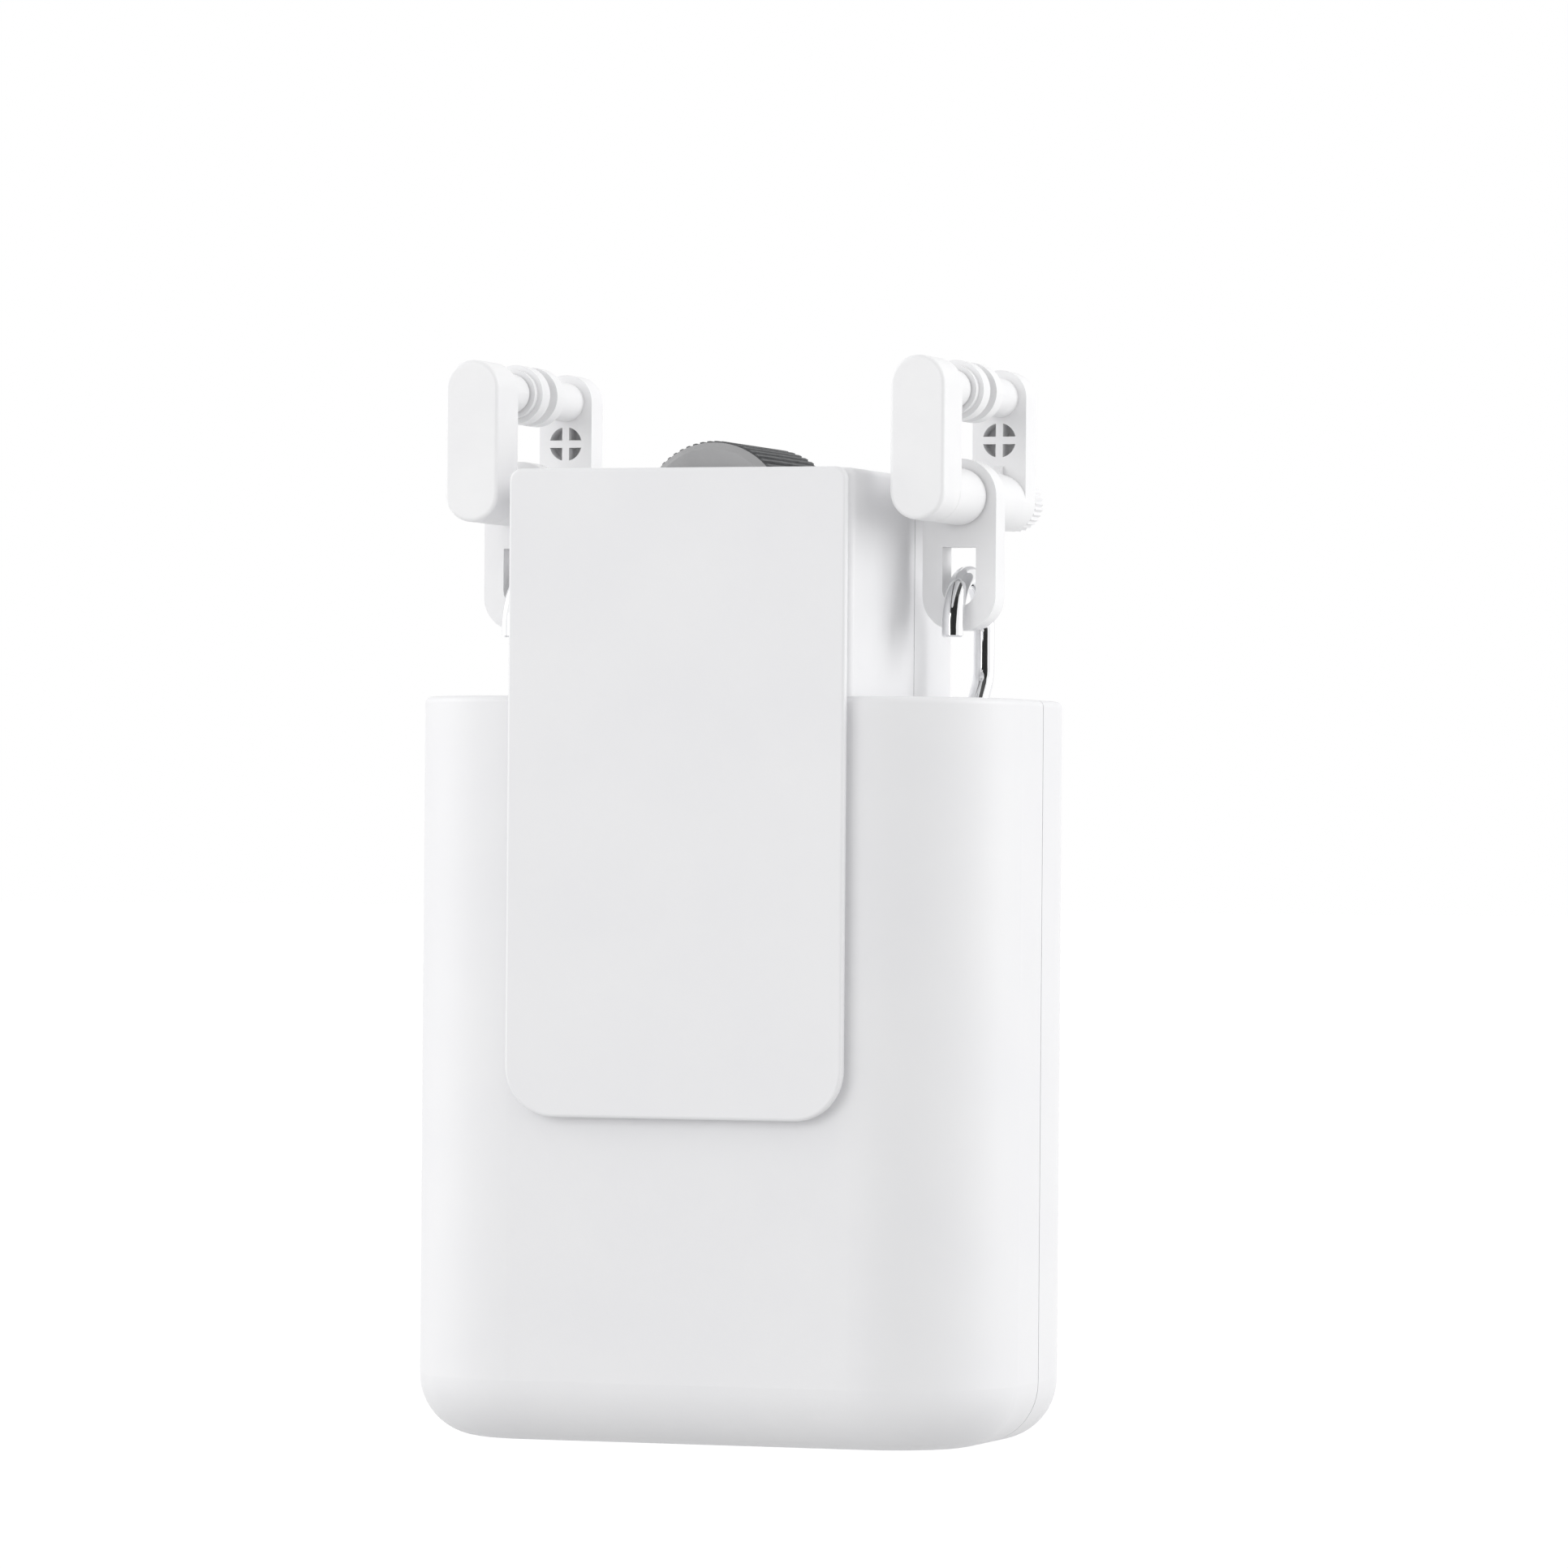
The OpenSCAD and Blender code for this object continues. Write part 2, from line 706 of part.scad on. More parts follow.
module gear_cover() {
  color([0.36, 0.37, 0.39])
    difference() {
      union() {
        block([-cover_half_w, cover_y, cover_low], [cover_half_w, cover_y + cover_t, chassis_top]);
        for (s = [-1, 1], z = [chassis_top - leg_in, cover_low + leg_in])
          translate([s * leg_x, 0, z]) y_rod(leg_r, plate_outer + lay_gap / 2, cover_y + cover_t / 2);
      }
      translate([0, 0, idler_z]) y_rod(idler_pin_r + set_fit, 0, cover_y + cover_t + over);
      translate([0, 0, motor_z]) y_rod(motor_shaft_r + gap, 0, cover_y + cover_t + over);
    }
}

module axle_bushes() {
  color([0.72, 0.6, 0.32])
    for (s = [0, 1])
      mirror([0, s, 0]) translate([0, 0, axle_z])
        difference() {
          y_rod(bush_r, plate_inner - bush_stand, plate_outer);
          y_rod(axle_r + run_fit, 0, plate_outer + over);
        }
}

module motor() {
  color([0.75, 0.75, 0.76])
    translate([0, 0, motor_z])
      difference() {
        union() {
          y_rod(motor_r, motor_front, motor_face);
          y_rod(motor_boss_r, motor_face - over, plate_outer - root);
        }
        y_rod(motor_shaft_r + run_fit, motor_front - over, plate_outer + over);
      }
}

module idler_pin() {
  color([0.78, 0.79, 0.8])
    translate([0, 0, idler_z]) y_rod(idler_pin_r, plate_inner + idler_seat + lay_gap, cover_y + cover_t);
}

// Rolled-curve angle at radius p of a gear with base radius b, in degrees
function roll(b, p) = let(a = acos(min(1, b / p))) tan(a) * 180 / PI - a;

// Outline of one gear: n teeth, tip and foot measured from the pitch circle, thin taken off each flank
function gear_points(n, tip, foot, thin) =
  let(r = tooth * n / 2,
      b = r * cos(20),
      half = 90 / n - thin / r * 90 / PI + roll(b, r),
      low = r - foot,
      start = max(low, b),
      radii = [for (k = [0 : 4]) start + (r + tip - start) * k / 4],
      side = concat(low < b ? [low] : [], radii))
  [for (t = [0 : n - 1], e = [-1, 1], k = [0 : len(side) - 1])
    let(p = e < 0 ? side[k] : side[len(side) - 1 - k],
        w = half - roll(b, max(p, b)),
        a = 360 * t / n + e * w)
    [p * cos(a), p * sin(a)]];

module gear_form(n, tip, foot, thin) {
  polygon(gear_points(n, tip, foot, thin));
}

// Spur gear of thickness t that starts at y0, with one tooth turned to angle (0 right, 90 up)
module spur_gear(n, y0, t, angle) {
  translate([0, y0 + t, 0]) rotate([90, 0, 0]) linear_extrude(t)
    rotate([0, 0, angle]) gear_form(n, tooth_tip, tooth_foot, backlash / 2);
}

module wheel_hub() {
  half_w = wheel_w / 2;
  rim_r = wheel_r - hub_step;
  face_r = rim_r - hub_bevel;
  color([0.78, 0.78, 0.79])
    translate([0, 0, axle_z])
      difference() {
        union() {
          y_rod(wheel_r - tyre_t, -half_w + hub_end_t, half_w - hub_end_t);
          for (s = [0, 1])
            mirror([0, s, 0]) translate([0, half_w, 0]) rotate([90, 0, 0])
              cylinder(r1 = face_r, r2 = rim_r, h = hub_end_t);
        }
        y_rod(axle_r + set_fit, -wheel_w, wheel_w);
        translate([0, half_w + over, 0]) rotate([90, 0, 0]) linear_extrude(ring_depth + over)
          rotate([0, 0, -90]) gear_form(ring_n, ring_tooth_foot, ring_tooth_tip, -backlash / 2);
        difference() {
          y_rod(face_r - hub_groove_rim, -half_w - over, -half_w + hub_groove_depth);
          y_rod(axle_r + hub_boss_t, -half_w - 2 * over, -half_w + over);
        }
      }
}

module wheel_tyre() {
  side = wheel_w / 2 - hub_end_t - lay_gap;
  color([0.36, 0.37, 0.38])
    translate([0, 0, axle_z])
      difference() {
        y_rod(wheel_r, -side, side);
        y_rod(wheel_r - tyre_t + set_fit, -wheel_w, wheel_w);
      }
}

module wheel_axle() {
  color([0.78, 0.79, 0.8])
    translate([0, 0, axle_z]) y_rod(axle_r, -plate_outer, plate_outer);
}

module layshaft() {
  pinion_y = wheel_w / 2 - ring_depth + pinion_play;
  pinion_t = ring_depth - 2 * pinion_play;
  color([0.7, 0.71, 0.73])
    translate([0, 0, lay_z]) {
      spur_gear(pinion_n, pinion_y, pinion_t, -90);
      y_rod(lay_shaft_r, pinion_y + pinion_t / 2, lay_gear_y + gear_t);
    }
}

module layshaft_gear() {
  color([0.9, 0.9, 0.86])
    translate([0, 0, lay_z])
      difference() {
        spur_gear(lay_n, lay_gear_y, gear_t, -90);
        y_rod(lay_shaft_r + set_fit, 0, lay_gear_y + gear_t + over);
      }
}

module idler_gear() {
  small_half_pitch = 180 / idler_small_n;
  color([0.9, 0.9, 0.86])
    translate([0, 0, idler_z])
      difference() {
        union() {
          spur_gear(idler_small_n, lay_gear_y, gear_t + gear_gap + root, 90 + small_half_pitch);
          spur_gear(idler_large_n, idler_gear_y, gear_t, -90);
        }
        y_rod(idler_pin_r + run_fit, 0, cover_y + over);
      }
}

module motor_pinion() {
  half_pitch = 180 / motor_n;
  color([0.72, 0.6, 0.32])
    translate([0, 0, motor_z]) {
      spur_gear(motor_n, idler_gear_y, gear_t, 90 + half_pitch);
      y_rod(motor_shaft_r, motor_front + root, cover_y + cover_t);
    }
}

module battery_cells() {
  color([0.2, 0.36, 0.55])
    for (s = [-1, 1])
      translate([s * cell_x, cell_y, cell_low]) cylinder(r = cell_r, h = cell_len);
}

module cell_cradle() {
  front = cradle_back - cradle_depth;
  ear_x = case_post_x + post_r;
  color([0.24, 0.25, 0.27])
    difference() {
      union() {
        block([-cradle_half_w, cradle_y, cradle_low], [cradle_half_w, cradle_back, cradle_top]);
        block([-cradle_half_w, front, cradle_top - cradle_end_t], [cradle_half_w, cradle_back, cradle_top]);
        block([-cradle_half_w, front, cradle_low], [cradle_half_w, cradle_back, cradle_low + cradle_end_t]);
        block([-ear_x, cradle_y, case_post_z - ear_half_h], [ear_x, cradle_back, case_post_z + ear_half_h]);
        for (s = [-1, 1], z = [board_top - part_edge, board_low + part_edge])
          translate([s * standoff_x, 0, z]) y_rod(standoff_r, cradle_y + root, board_y - lay_gap / 2);
      }
      at_case_screws() y_rod(screw_r + lay_gap, 0, cradle_back + over);
    }
}

module cell_contacts() {
  color([0.8, 0.78, 0.7])
    for (s = [-1, 1], z = [cell_top + lay_gap, cell_low - lay_gap - contact_t])
      translate([s * cell_x, cell_y, z]) cylinder(r = contact_r, h = contact_t);
}

module main_board() {
  color([0.07, 0.32, 0.2])
    block([-board_half_w, board_y, board_low], [board_half_w, board_back, board_top]);
}

// One part on the back of the board, from its lower left corner
module board_block(x, z, w, h, t) {
  block([x, parts_y, z], [x + w, parts_y + t, z + h]);
}

module board_parts() {
  high = board_top - part_edge;
  low = port_z + coil_w;
  color([0.6, 0.6, 0.62]) {
    board_block(-board_half_w + part_edge, high - radio_h, radio_w, radio_h, radio_t);
    board_block(part_edge, high - chip_w, chip_w, chip_w, chip_t);
    board_block(chip_w, low, coil_w, coil_w, coil_t);
    board_block(-chip_w - charger_w, low, charger_w, charger_w, charger_t);
  }
}

module charging_port() {
  len = case_back - port_sink - parts_y;
  color([0.75, 0.76, 0.78])
    translate([0, parts_y, port_z]) {
      difference() {
        port_form(port_w, port_h, len);
        translate([0, port_floor, 0]) port_form(port_w - 2 * port_wall, port_h - 2 * port_wall, len);
      }
      block([-tongue_half_w, port_floor - root, -tongue_half_t],
            [tongue_half_w, len - tongue_in, tongue_half_t]);
    }
}

module button_switch() {
  color([0.15, 0.15, 0.16])
    translate([0, 0, button_z]) {
      block([-switch_half, parts_y, -switch_half], [switch_half, switch_back - plunger_len, switch_half]);
      y_rod(plunger_r, parts_y + root, switch_back);
    }
}

module function_button() {
  color([0.9, 0.9, 0.91])
    translate([0, 0, button_z]) {
      y_rod(button_r, flange_back - root, case_back + button_proud);
      y_rod(button_flange_r, flange_back - button_flange_t, flange_back);
    }
}

module status_lens() {
  color([0.96, 0.96, 0.98])
    translate([0, 0, status_z]) y_rod(status_r, parts_y, case_back);
}

module sensor_window() {
  flange_y = wall_back - lay_gap - window_flange_t;
  color([0.1, 0.1, 0.12])
    translate([0, 0, sensor_z]) {
      y_rod(sensor_r, flange_y + window_flange_t / 2, case_back - lay_gap);
      y_rod(sensor_r + window_flange_w, flange_y, flange_y + window_flange_t);
    }
}

// Screw with a cross recess whose head ends at y1, shank towards the front for len
module screw(y1, len) {
  difference() {
    union() {
      y_rod(head_r, y1 - head_t, y1);
      y_rod(screw_r, y1 - head_t - len, y1 - head_t / 2);
    }
    block([-cross_reach, y1 - cross_depth, -cross_half_t], [cross_reach, y1 + over, cross_half_t]);
    block([-cross_half_t, y1 - cross_depth, -cross_reach], [cross_half_t, y1 + over, cross_reach]);
  }
}

module case_screws() {
  head_y = case_back - head_sink;
  shank_y = head_y - head_t;
  color([0.7, 0.71, 0.73]) {
    at_case_screws() screw(head_y, shank_y - post_front - post_blind - lay_gap);
    at_neck_screws() screw(head_y, shank_y - plate_inner);
  }
}

module chassis_screws() {
  head_y = -plate_inner - lay_gap;
  color([0.7, 0.71, 0.73])
    at_chassis_screws() screw(head_y, head_y - head_t + case_front - wall - gap);
}

module hook_bushes() {
  color([0.72, 0.6, 0.32])
    for (s = [-1, 1])
      translate([s * hanger_x, rod_back, guide_low])
        difference() {
          union() {
            cylinder(r = hook_bush_r, h = guide_t + bush_flange_t);
            translate([0, 0, guide_t + lay_gap / 2]) cylinder(r = bush_flange_r, h = bush_flange_t);
          }
          translate([0, 0, -over]) cylinder(r = wire_r + run_fit, h = guide_t + bush_flange_t + 2 * over);
        }
}

// Bent piece of wire in the Y-Z plane, centre (y, z), from angle a0 to a1
module wire_bend(y, z, r, a0, a1) {
  translate([0, y, z]) rotate([90, 0, 90]) rotate([0, 0, a0])
    rotate_extrude(angle = a1 - a0) translate([r, 0]) circle(wire_r + bend_swell);
}

// Straight piece of wire from (y, z) for a length, tilted back from upright by tilt,
// with both ends run into the bends beside it
module wire_run(y, z, len, tilt, low_bite, top_bite) {
  translate([0, y, z]) rotate([-tilt, 0, 0]) translate([0, 0, -low_bite])
    cylinder(r = wire_r, h = len + low_bite + top_bite);
}

// One hook: tip, arch, shank, offset bend and rod
module hook() {
  color([0.8, 0.81, 0.82]) {
    wire_run(-tip_front, tip_low, arch_z - tip_low, 0, 0, bend_bite);
    wire_bend(arch_y, arch_z, arch_r, 0, 180);
    wire_run(shank_back, shank_low, arch_z - shank_low, 0, bend_bite, bend_bite);
    wire_bend(shank_back - offset_bend, shank_low, offset_bend, -offset_angle, 0);
    wire_run(offset_end_y, offset_end_z, offset_len, offset_angle, bend_bite, bend_bite);
    wire_bend(rod_back + offset_bend, rod_top, offset_bend, 180 - offset_angle, 180);
    wire_run(rod_back, rod_end, rod_top - rod_end, 0, 0, bend_bite);
  }
}

// Washer and clip near the lower end of the rod
module hook_stop() {
  clip_low = stop_top - 2 * stop_t - lay_gap;
  color([0.62, 0.63, 0.65])
    translate([0, rod_back, 0])
      difference() {
        union() {
          translate([0, 0, stop_top - stop_t]) cylinder(r = stop_r, h = stop_t);
          translate([0, 0, clip_low]) cylinder(r = clip_r, h = stop_top - clip_low - stop_t / 2);
        }
        translate([0, 0, clip_low - over]) cylinder(r = wire_r + set_fit, h = stop_top - clip_low + 2 * over);
      }
}

// Ring k of the spring wire
function spring_ring(k, steps, height) =
  let(turn = 360 * spring_turns * k / steps,
      z = spring_wire + (height - 2 * spring_wire) * k / steps)
  [for (j = [0 : spring_sides - 1])
    let(a = 360 * j / spring_sides, p = spring_r + spring_wire * cos(a))
    [p * cos(turn), p * sin(turn), z + spring_wire * sin(a)]];

// Coil spring between its two seats
module hook_spring() {
  height = spring_top - spring_low;
  steps = spring_steps * spring_turns;
  points = [for (k = [0 : steps]) each spring_ring(k, steps, height)];
  sides = [for (k = [0 : steps - 1], j = [0 : spring_sides - 1])
    let(a = spring_sides * k + j, b = spring_sides * k + (j + 1) % spring_sides)
    each [[a, b, a + spring_sides], [b, b + spring_sides, a + spring_sides]]];
  low_end = [for (j = [0 : spring_sides - 1]) spring_sides - 1 - j];
  top_end = [for (j = [0 : spring_sides - 1]) spring_sides * steps + j];
  color([0.66, 0.67, 0.69])
    translate([0, rod_back, spring_low])
      polyhedron(points = points, faces = concat(sides, [low_end, top_end]));
}

module hook_plate() {
  corner_x = plate_eye_r - plate_end_r;
  corner_z = -plate_drop + plate_end_r;
  color([0.93, 0.93, 0.94])
    translate([0, plate_t / 2, 0]) rotate([90, 0, 0]) linear_extrude(plate_t)
      difference() {
        union() {
          translate([0, stud_z]) circle(plate_eye_r);
          translate([-plate_eye_r, corner_z]) square([plate_w, stud_z - corner_z]);
          translate([-corner_x, -plate_drop]) square([2 * corner_x, plate_eye_r]);
          for (s = [-1, 1])
            translate([s * corner_x, corner_z]) circle(plate_end_r);
        }
        translate([0, stud_z]) circle(stud_r + run_fit);
        translate([0, slot_end_z]) circle(slot_w / 2);
        translate([-slot_w / 2, slot_end_z]) square([slot_w, slot_top - slot_end_z]);
      }
}

// Upright bar with round ends and a rounded front edge, front face at y = 0
module arm_bar(t) {
  translate([0, t, 0]) rotate([90, 0, 0]) {
    translate([0, roller_z, 0]) rotate_extrude(angle = 180) edge_profile(arm_r, t, 0, arm_edge);
    translate([0, stud_z, 0]) rotate([0, 0, 180]) rotate_extrude(angle = 180)
      edge_profile(arm_r, t, 0, arm_edge);
    translate([0, roller_z, 0]) rotate([90, 0, 0]) linear_extrude(arm_span)
      edge_section(arm_r, t, 0, arm_edge);
  }
}

// Hollow with cross ribs, sunk from the inner face at y = 0 towards -Y
module arm_pocket() {
  floor_y = -pocket_depth - over;
  half_rib = pocket_rib / 2;
  translate([0, 0, (roller_z + stud_z) / 2 + pocket_up])
    difference() {
      y_rod(pocket_r, -pocket_depth, over);
      block([-half_rib, floor_y, -pocket_r], [half_rib, 2 * over, pocket_r]);
      block([-pocket_r, floor_y, -half_rib], [pocket_r, 2 * over, half_rib]);
    }
}

// Arm in front of the middle plane, t thick, its inner face at the distance inner:
// bar, boss round the stud, hub for the roller and a small gusset
module arm(t, inner) {
  color([0.93, 0.93, 0.94])
    difference() {
      union() {
        translate([0, -inner - t, 0]) arm_bar(t);
        translate([0, 0, stud_z]) y_rod(boss_r, -inner - root, -boss_end);
        translate([0, 0, roller_z]) y_rod(arm_hub_r, -inner - root, -arm_hub_end);
        translate([-gusset_t / 2, -inner, stud_z + boss_r]) rotate([90, 0, 90]) linear_extrude(gusset_t)
          polygon([[-root, gusset_h], [0, gusset_h], [gusset_len, -gusset_bite], [-root, -gusset_bite]]);
      }
      translate([0, -inner, 0]) arm_pocket();
      translate([0, 0, roller_z]) y_rod(pin_r + set_fit, -inner + pin_seat, 0);
      children();
    }
}

module front_arm() {
  arm(front_arm_t, front_arm_inner)
    translate([0, 0, stud_z]) y_rod(stud_r + set_fit, -front_arm_front + stud_cover, 0);
}

module rear_arm() {
  mirror([0, 1, 0])
    arm(rear_arm_t, rear_arm_inner)
      translate([0, 0, stud_z]) y_rod(stud_r + set_fit, -rear_arm_back - over, 0);
}

module stud() {
  color([0.78, 0.79, 0.8])
    translate([0, 0, stud_z]) y_rod(stud_r, -front_arm_front + stud_cover + lay_gap, nut_end + stud_past);
}

// Headed pin of a front roller, seated in an arm whose inner face is at the distance inner
module roller_pin(inner) {
  head_end = -roller_gap - pin_sink;
  translate([0, 0, roller_z]) {
    y_rod(pin_r, -inner + pin_seat + lay_gap, head_end - pin_head_t / 2);
    y_rod(pin_head_r, head_end - pin_head_t, head_end);
  }
}

module roller_pins() {
  color([0.78, 0.79, 0.8]) {
    roller_pin(front_arm_inner);
    mirror([0, 1, 0]) roller_pin(rear_arm_inner);
  }
}

module roller() {
  outer = -roller_gap - roller_w;
  head_room = -roller_gap - pin_sink - pin_head_t - gap;
  color([0.9, 0.9, 0.91])
    translate([0, 0, roller_z])
      difference() {
        union() {
          y_rod(roller_r, outer + roller_step_w, -roller_gap);
          y_rod(roller_step_r, outer, -roller_gap - root);
        }
        y_rod(pin_r + run_fit, outer - over, 0);
        y_rod(pin_head_r + gap, head_room, 0);
      }
}

// Thumb nut with grooves all round
module thumb_nut() {
  points = [for (k = [0 : 2 * knurl_n - 1])
    let(p = nut_r - (k % 2) * knurl_depth, a = 180 * k / knurl_n)
    [p * cos(a), p * sin(a)]];
  color([0.9, 0.9, 0.91])
    translate([0, 0, stud_z])
      difference() {
        translate([0, nut_end, 0]) rotate([90, 0, 0]) linear_extrude(nut_len) polygon(points);
        y_rod(stud_r + run_fit, 0, nut_end + over);
      }
}

// Place of the left (-1) or right (1) hanger
module at_hanger(side) {
  translate([side * hanger_x, 0, 0]) children();
}

front_shell();
rear_shell();
front_panel();
chassis();
gear_cover();
axle_bushes();
motor();
idler_pin();
wheel_hub();
wheel_tyre();
wheel_axle();
layshaft();
layshaft_gear();
idler_gear();
motor_pinion();
battery_cells();
cell_cradle();
cell_contacts();
main_board();
board_parts();
charging_port();
button_switch();
function_button();
status_lens();
sensor_window();
case_screws();
chassis_screws();
hook_bushes();
at_hanger(-1) hook();  // left_hook
at_hanger(-1) hook_stop();  // left_hook_stop
at_hanger(-1) hook_spring();  // left_hook_spring
at_hanger(-1) hook_plate();  // left_hook_plate
at_hanger(-1) front_arm();  // left_front_arm
at_hanger(-1) rear_arm();  // left_rear_arm
at_hanger(-1) stud();  // left_stud
at_hanger(-1) roller_pins();  // left_roller_pins
at_hanger(-1) roller();  // left_front_roller
at_hanger(-1) mirror([0, 1, 0]) roller();  // left_rear_roller
at_hanger(-1) thumb_nut();  // left_thumb_nut
at_hanger(1) hook();  // right_hook
at_hanger(1) hook_stop();  // right_hook_stop
at_hanger(1) hook_spring();  // right_hook_spring
at_hanger(1) hook_plate();  // right_hook_plate
at_hanger(1) front_arm();  // right_front_arm
at_hanger(1) rear_arm();  // right_rear_arm
at_hanger(1) stud();  // right_stud
at_hanger(1) roller_pins();  // right_roller_pins
at_hanger(1) roller();  // right_front_roller
at_hanger(1) mirror([0, 1, 0]) roller();  // right_rear_roller
at_hanger(1) thumb_nut();  // right_thumb_nut
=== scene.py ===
import json
import math

import bpy
from mathutils import Matrix, Vector


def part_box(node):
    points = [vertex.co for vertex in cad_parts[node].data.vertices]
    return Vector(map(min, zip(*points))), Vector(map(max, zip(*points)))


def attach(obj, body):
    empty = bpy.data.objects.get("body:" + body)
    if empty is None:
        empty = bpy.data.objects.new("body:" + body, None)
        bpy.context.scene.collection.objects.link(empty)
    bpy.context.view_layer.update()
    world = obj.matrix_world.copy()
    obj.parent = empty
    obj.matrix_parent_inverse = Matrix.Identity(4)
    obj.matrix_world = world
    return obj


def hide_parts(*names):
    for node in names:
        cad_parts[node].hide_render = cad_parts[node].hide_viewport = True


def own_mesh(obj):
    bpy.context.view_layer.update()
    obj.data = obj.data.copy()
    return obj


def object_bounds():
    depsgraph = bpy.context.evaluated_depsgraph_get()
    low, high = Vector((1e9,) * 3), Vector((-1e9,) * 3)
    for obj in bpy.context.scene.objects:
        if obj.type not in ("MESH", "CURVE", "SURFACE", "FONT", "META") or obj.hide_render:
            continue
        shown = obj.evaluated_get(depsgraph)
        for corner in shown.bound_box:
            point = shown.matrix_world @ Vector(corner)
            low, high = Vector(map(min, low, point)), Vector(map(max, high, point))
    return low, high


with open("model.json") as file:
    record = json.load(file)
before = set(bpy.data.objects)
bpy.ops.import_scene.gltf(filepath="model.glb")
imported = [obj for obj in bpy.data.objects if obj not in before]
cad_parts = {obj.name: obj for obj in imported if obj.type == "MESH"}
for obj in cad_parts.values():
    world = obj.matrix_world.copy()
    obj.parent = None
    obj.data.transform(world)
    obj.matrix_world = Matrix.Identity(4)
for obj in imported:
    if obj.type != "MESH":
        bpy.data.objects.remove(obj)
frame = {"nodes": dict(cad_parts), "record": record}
cad_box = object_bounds()
box_centre = (cad_box[0] + cad_box[1]) / 2
scene = bpy.context.scene
MM = 0.001
BOTH_SIDES = ("left", "right")

# Camera, fitted to the edges of the object in the photograph (millimetres and degrees)
CAMERA_AZIMUTH = 18.634
CAMERA_ELEVATION = -0.464
CAMERA_ROLL = 0.459
CAMERA_DISTANCE = 1004.43
CAMERA_LENS = 190.684
SENSOR_WIDTH = 36
LOOK_AT = (5.565, 0.0, -41.038)

# Nearest and farthest distance that the camera sees (metres)
CLIP_NEAR = 0.01
CLIP_FAR = 50


def make_camera():
    azimuth = math.radians(CAMERA_AZIMUTH)
    elevation = math.radians(CAMERA_ELEVATION)
    roll = math.radians(CAMERA_ROLL)
    forward = Vector((
        -math.sin(azimuth) * math.cos(elevation),
        math.cos(azimuth) * math.cos(elevation),
        -math.sin(elevation),
    ))
    level = Vector((math.cos(azimuth), math.sin(azimuth), 0))
    upright = level.cross(forward)
    right = math.cos(roll) * level + math.sin(roll) * upright
    up = math.cos(roll) * upright - math.sin(roll) * level
    place = (Vector(LOOK_AT) - forward * CAMERA_DISTANCE) * MM
    data = bpy.data.cameras.new("camera")
    data.sensor_width = SENSOR_WIDTH
    data.lens = CAMERA_LENS
    data.clip_start = CLIP_NEAR
    data.clip_end = CLIP_FAR
    camera = bpy.data.objects.new("camera", data)
    turn = Matrix((right, up, -forward)).transposed().to_4x4()
    camera.matrix_world = Matrix.Translation(place) @ turn
    scene.collection.objects.link(camera)
    scene.camera = camera


# Noise of the materials: the part of its range over which colour and roughness change
NOISE_RANGE = (0.3, 0.7)

# Detail and roughness of the noise, for the blotches of colour and for the fine grain
CLOUD_NOISE = (4.0, 0.5)
GRAIN_NOISE = (2.0, 0.6)
BUMP_STRENGTH = 0.5


# Node helpers

def add(tree, kind, **values):
    """New node. Each value goes to the input of that name, or else to the node's own setting."""
    node = tree.nodes.new(kind)
    for key, value in values.items():
        if key in node.inputs:
            node.inputs[key].default_value = value
        else:
            setattr(node, key, value)
    return node


def noise(tree, place, scale, detail, rough):
    node = add(tree, "ShaderNodeTexNoise", Scale=scale, Detail=detail, Roughness=rough)
    tree.links.new(place.outputs[0], node.inputs["Vector"])
    return node.outputs[0]


def ramp(tree, value, dark, light):
    """Colour that goes from dark to light over the range of the noise."""
    node = add(tree, "ShaderNodeValToRGB")
    for element, at, colour in zip(node.color_ramp.elements, NOISE_RANGE, (dark, light)):
        element.position = at
        element.color = (*colour, 1)
    tree.links.new(value, node.inputs["Fac"])
    return node.outputs["Color"]


def map_range(tree, value, source, target, kind="LINEAR"):
    """Value carried from the range source to the range target."""
    node = add(tree, "ShaderNodeMapRange", interpolation_type=kind)
    for key, number in zip(("From Min", "From Max", "To Min", "To Max"), (*source, *target)):
        node.inputs[key].default_value = number
    tree.links.new(value, node.inputs["Value"])
    return node.outputs["Result"]


